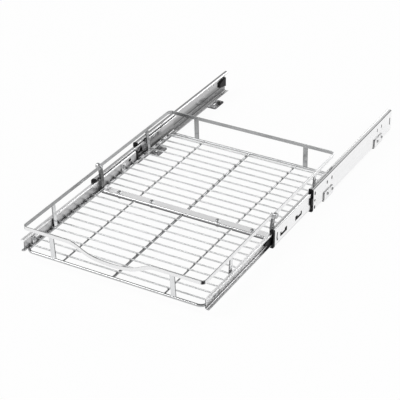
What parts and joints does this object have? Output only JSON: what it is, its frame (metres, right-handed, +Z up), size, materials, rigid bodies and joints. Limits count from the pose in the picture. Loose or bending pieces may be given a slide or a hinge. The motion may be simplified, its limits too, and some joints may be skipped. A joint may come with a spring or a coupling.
{
  "type": "pull out cabinet basket",
  "caption": "Chrome wire cabinet basket in bolted halves with a raised strip rim and a hand dip, on full-extension ball slides with brackets that screw to the cabinet floor.",
  "frame": {"origin": "middle of the four floor screw holes, on the cabinet floor under the brackets", "axes": "+Z up, +Y to the back of the cabinet, the basket pulls out along -Y"},
  "size_m": [0.3772, 0.728, 0.0682],
  "materials": {
    "chrome_wire": "bright chrome plate",
    "zinc_sheet": "bright zinc-plated sheet steel",
    "black_plastic": "moulded black plastic",
    "dark_plastic": "moulded dark plastic",
    "ball_steel": "ground bearing steel",
    "bright_fasteners": "bright zinc plate"
  },
  "bodies": {
    "cabinet_side": {"left_cabinet_rail": "zinc_sheet", "left_front_bracket": "zinc_sheet", "left_rear_bracket": "zinc_sheet", "left_bracket_rivets": "bright_fasteners", "left_rail_bumper": "black_plastic", "left_rear_stop": "black_plastic", "right_cabinet_rail": "zinc_sheet", "right_front_bracket": "zinc_sheet", "right_rear_bracket": "zinc_sheet", "right_bracket_rivets": "bright_fasteners", "right_rail_bumper": "black_plastic", "right_rear_stop": "black_plastic"},
    "basket": {"front_base_rod": "chrome_wire", "rear_base_rod": "chrome_wire", "front_cross_rod": "chrome_wire", "rear_cross_rod": "chrome_wire", "front_cross_wires": "chrome_wire", "rear_cross_wires": "chrome_wire", "front_long_wires": "chrome_wire", "rear_long_wires": "chrome_wire", "joining_strip": "zinc_sheet", "joining_screws": "bright_fasteners", "joining_nuts": "bright_fasteners", "front_rim": "chrome_wire", "rear_rim": "chrome_wire", "front_posts": "chrome_wire", "rear_posts": "chrome_wire", "left_drawer_rail": "zinc_sheet", "left_rail_tabs": "bright_fasteners", "left_rail_screws": "bright_fasteners", "left_rail_nuts": "bright_fasteners", "left_lever_pin": "bright_fasteners", "left_drawer_bumper": "black_plastic", "left_rim_bolt": "bright_fasteners", "left_cap_nut": "bright_fasteners", "right_drawer_rail": "zinc_sheet", "right_rail_tabs": "bright_fasteners", "right_rail_screws": "bright_fasteners", "right_rail_nuts": "bright_fasteners", "right_lever_pin": "bright_fasteners", "right_drawer_bumper": "black_plastic", "right_rim_bolt": "bright_fasteners", "right_cap_nut": "bright_fasteners"},
    "left_middle": {"left_middle_rail": "zinc_sheet", "left_middle_bumper": "black_plastic"},
    "left_outer_cage": {"left_outer_ball_cage": "dark_plastic", "left_outer_balls": "ball_steel"},
    "left_inner_cage": {"left_inner_ball_cage": "dark_plastic", "left_inner_balls": "ball_steel"},
    "left_lever": {"left_release_lever": "black_plastic"},
    "right_middle": {"right_middle_rail": "zinc_sheet", "right_middle_bumper": "black_plastic"},
    "right_outer_cage": {"right_outer_ball_cage": "dark_plastic", "right_outer_balls": "ball_steel"},
    "right_inner_cage": {"right_inner_ball_cage": "dark_plastic", "right_inner_balls": "ball_steel"},
    "right_lever": {"right_release_lever": "black_plastic"}
  },
  "joints": [
    {"name": "basket_slide", "type": "slide", "parent": "cabinet_side", "child": "basket", "axis": [0, -1, 0], "range_m": [-0.369, 0]},
    {"name": "left_middle_slide", "type": "slide", "parent": "cabinet_side", "child": "left_middle", "axis": [0, -1, 0], "range_m": [-0.1845, 0]},
    {"name": "left_outer_cage_slide", "type": "slide", "parent": "cabinet_side", "child": "left_outer_cage", "axis": [0, -1, 0], "range_m": [-0.09225, 0]},
    {"name": "left_inner_cage_slide", "type": "slide", "parent": "cabinet_side", "child": "left_inner_cage", "axis": [0, -1, 0], "range_m": [-0.27675, 0]},
    {"name": "left_lever_hinge", "type": "hinge", "parent": "basket", "child": "left_lever", "pos_m": [-0.1765, -0.307, 0.0245], "axis": [1, 0, 0], "range_deg": [-5, 5], "stiffness_Nm_per_rad": 0.15},
    {"name": "right_middle_slide", "type": "slide", "parent": "cabinet_side", "child": "right_middle", "axis": [0, -1, 0], "range_m": [-0.1845, 0]},
    {"name": "right_outer_cage_slide", "type": "slide", "parent": "cabinet_side", "child": "right_outer_cage", "axis": [0, -1, 0], "range_m": [-0.09225, 0]},
    {"name": "right_inner_cage_slide", "type": "slide", "parent": "cabinet_side", "child": "right_inner_cage", "axis": [0, -1, 0], "range_m": [-0.27675, 0]},
    {"name": "right_lever_hinge", "type": "hinge", "parent": "basket", "child": "right_lever", "pos_m": [0.1765, -0.307, 0.0245], "axis": [1, 0, 0], "range_deg": [-5, 5], "stiffness_Nm_per_rad": 0.15}
  ],
  "couplings": [
    {"joint": "left_middle_slide", "follows": "basket_slide", "ratio": 0.5},
    {"joint": "left_outer_cage_slide", "follows": "basket_slide", "ratio": 0.25},
    {"joint": "left_inner_cage_slide", "follows": "basket_slide", "ratio": 0.75},
    {"joint": "right_middle_slide", "follows": "basket_slide", "ratio": 0.5},
    {"joint": "right_outer_cage_slide", "follows": "basket_slide", "ratio": 0.25},
    {"joint": "right_inner_cage_slide", "follows": "basket_slide", "ratio": 0.75}
  ]
}
